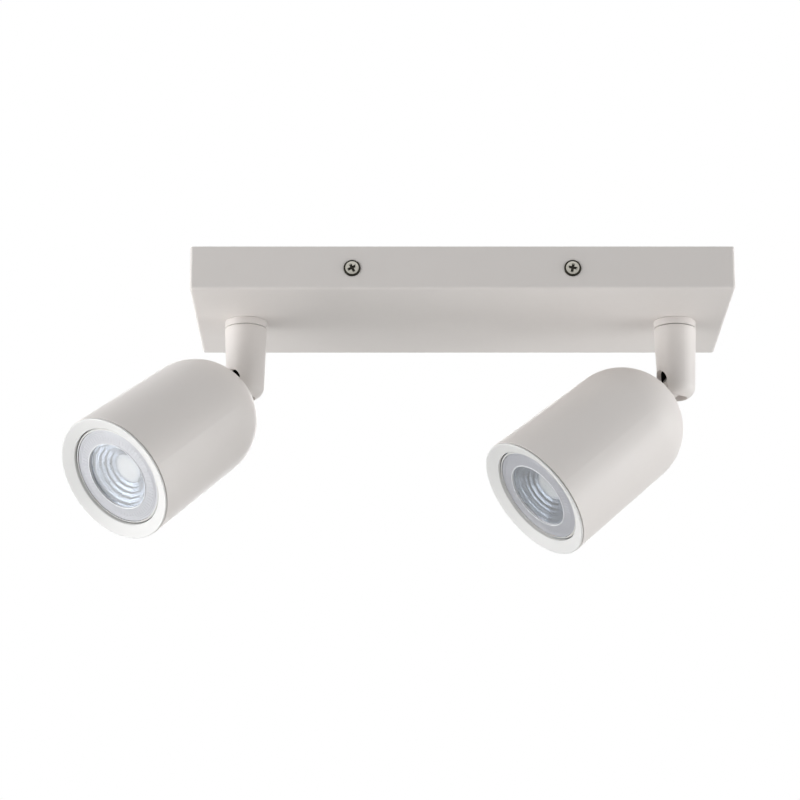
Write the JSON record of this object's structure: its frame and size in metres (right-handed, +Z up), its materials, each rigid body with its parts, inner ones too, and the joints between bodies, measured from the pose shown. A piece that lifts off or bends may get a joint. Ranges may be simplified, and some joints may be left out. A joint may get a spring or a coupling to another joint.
{
  "type": "ceiling spotlight bar",
  "caption": "White ceiling spotlight bar: a shallow rectangular canopy with swivelling posts that carry tilting domed cylindrical heads with recessed reflector lamps.",
  "frame": {"origin": "centre of the cable entry in the plane of the ceiling", "axes": "+Z up out of the fixture into the ceiling, +X along the bar, -Y towards its front side"},
  "size_m": [0.3193, 0.1354, 0.1425],
  "materials": {
    "canopy_paint": "satin white powder coat on pressed steel",
    "body_paint": "satin white powder coat on cast aluminium",
    "ring_paint": "satin white powder coat on turned aluminium",
    "screw_nickel": "nickel plate",
    "zinc_steel": "zinc plate",
    "black_rubber": "matte",
    "black_nylon": "matte",
    "terminal_nylon": "matte",
    "terminal_brass": "satin",
    "terminal_screw_steel": "zinc plate",
    "earth_insulation": "matte",
    "lead_insulation": "matte",
    "lamp_plastic": "gloss",
    "lamp_lens": "clear, frosted rim",
    "lamp_reflector": "metallised plastic",
    "lamp_led": "matte",
    "pin_brass": "nickel plate",
    "holder_ceramic": "matte"
  },
  "bodies": {
    "canopy_base": {"canopy": "canopy_paint", "canopy_screws": "screw_nickel", "mounting_bracket": "zinc_steel", "cable_grommet": "black_rubber", "terminal_block": "terminal_nylon", "terminal_clamps": "terminal_brass", "terminal_screws": "terminal_screw_steel", "terminal_fixing_screws": "zinc_steel", "earth_lug": "zinc_steel", "earth_screw": "zinc_steel", "earth_lead": "earth_insulation", "left_canopy_leads": "lead_insulation", "left_stop_pin": "zinc_steel", "left_collar": "body_paint", "left_swivel_washer": "black_nylon", "right_canopy_leads": "lead_insulation", "right_stop_pin": "zinc_steel", "right_collar": "body_paint", "right_swivel_washer": "black_nylon"},
    "left_post": {"left_stem": "body_paint", "left_nipple": "zinc_steel", "left_nipple_nut": "zinc_steel", "left_stop_washer": "zinc_steel", "left_pivot_screw": "zinc_steel", "left_friction_washers": "black_nylon", "left_stem_leads": "lead_insulation"},
    "left_head": {"left_tilt_arm": "body_paint", "left_arm_nut": "zinc_steel", "left_head_shell": "body_paint", "left_front_ring": "ring_paint", "left_lamp_body": "lamp_plastic", "left_lamp_lens": "lamp_lens", "left_lamp_reflector": "lamp_reflector", "left_lamp_led": "lamp_led", "left_lamp_pins": "pin_brass", "left_lamp_holder": "holder_ceramic", "left_holder_bracket": "zinc_steel", "left_holder_screws": "zinc_steel", "left_head_leads": "lead_insulation"},
    "right_post": {"right_stem": "body_paint", "right_nipple": "zinc_steel", "right_nipple_nut": "zinc_steel", "right_stop_washer": "zinc_steel", "right_pivot_screw": "zinc_steel", "right_friction_washers": "black_nylon", "right_stem_leads": "lead_insulation"},
    "right_head": {"right_tilt_arm": "body_paint", "right_arm_nut": "zinc_steel", "right_head_shell": "body_paint", "right_front_ring": "ring_paint", "right_lamp_body": "lamp_plastic", "right_lamp_lens": "lamp_lens", "right_lamp_reflector": "lamp_reflector", "right_lamp_led": "lamp_led", "right_lamp_pins": "pin_brass", "right_lamp_holder": "holder_ceramic", "right_holder_bracket": "zinc_steel", "right_holder_screws": "zinc_steel", "right_head_leads": "lead_insulation"}
  },
  "joints": [
    {"name": "left_swivel", "type": "hinge", "parent": "canopy_base", "child": "left_post", "pos_m": [-0.1055, 0, -0.0534], "axis": [0, 0, 1], "range_deg": [-118.5, 211.5]},
    {"name": "left_tilt", "type": "hinge", "parent": "left_post", "child": "left_head", "pos_m": [-0.1055, 0, -0.0534], "axis": [-0.6884, 0.7254, 0], "range_deg": [-52.3, 37.7]},
    {"name": "right_swivel", "type": "hinge", "parent": "canopy_base", "child": "right_post", "pos_m": [0.1055, 0, -0.0534], "axis": [0, 0, 1], "range_deg": [-97.2, 232.8]},
    {"name": "right_tilt", "type": "hinge", "parent": "right_post", "child": "right_head", "pos_m": [0.1055, 0, -0.0534], "axis": [-0.3778, 0.9259, 0], "range_deg": [-50, 40]}
  ]
}
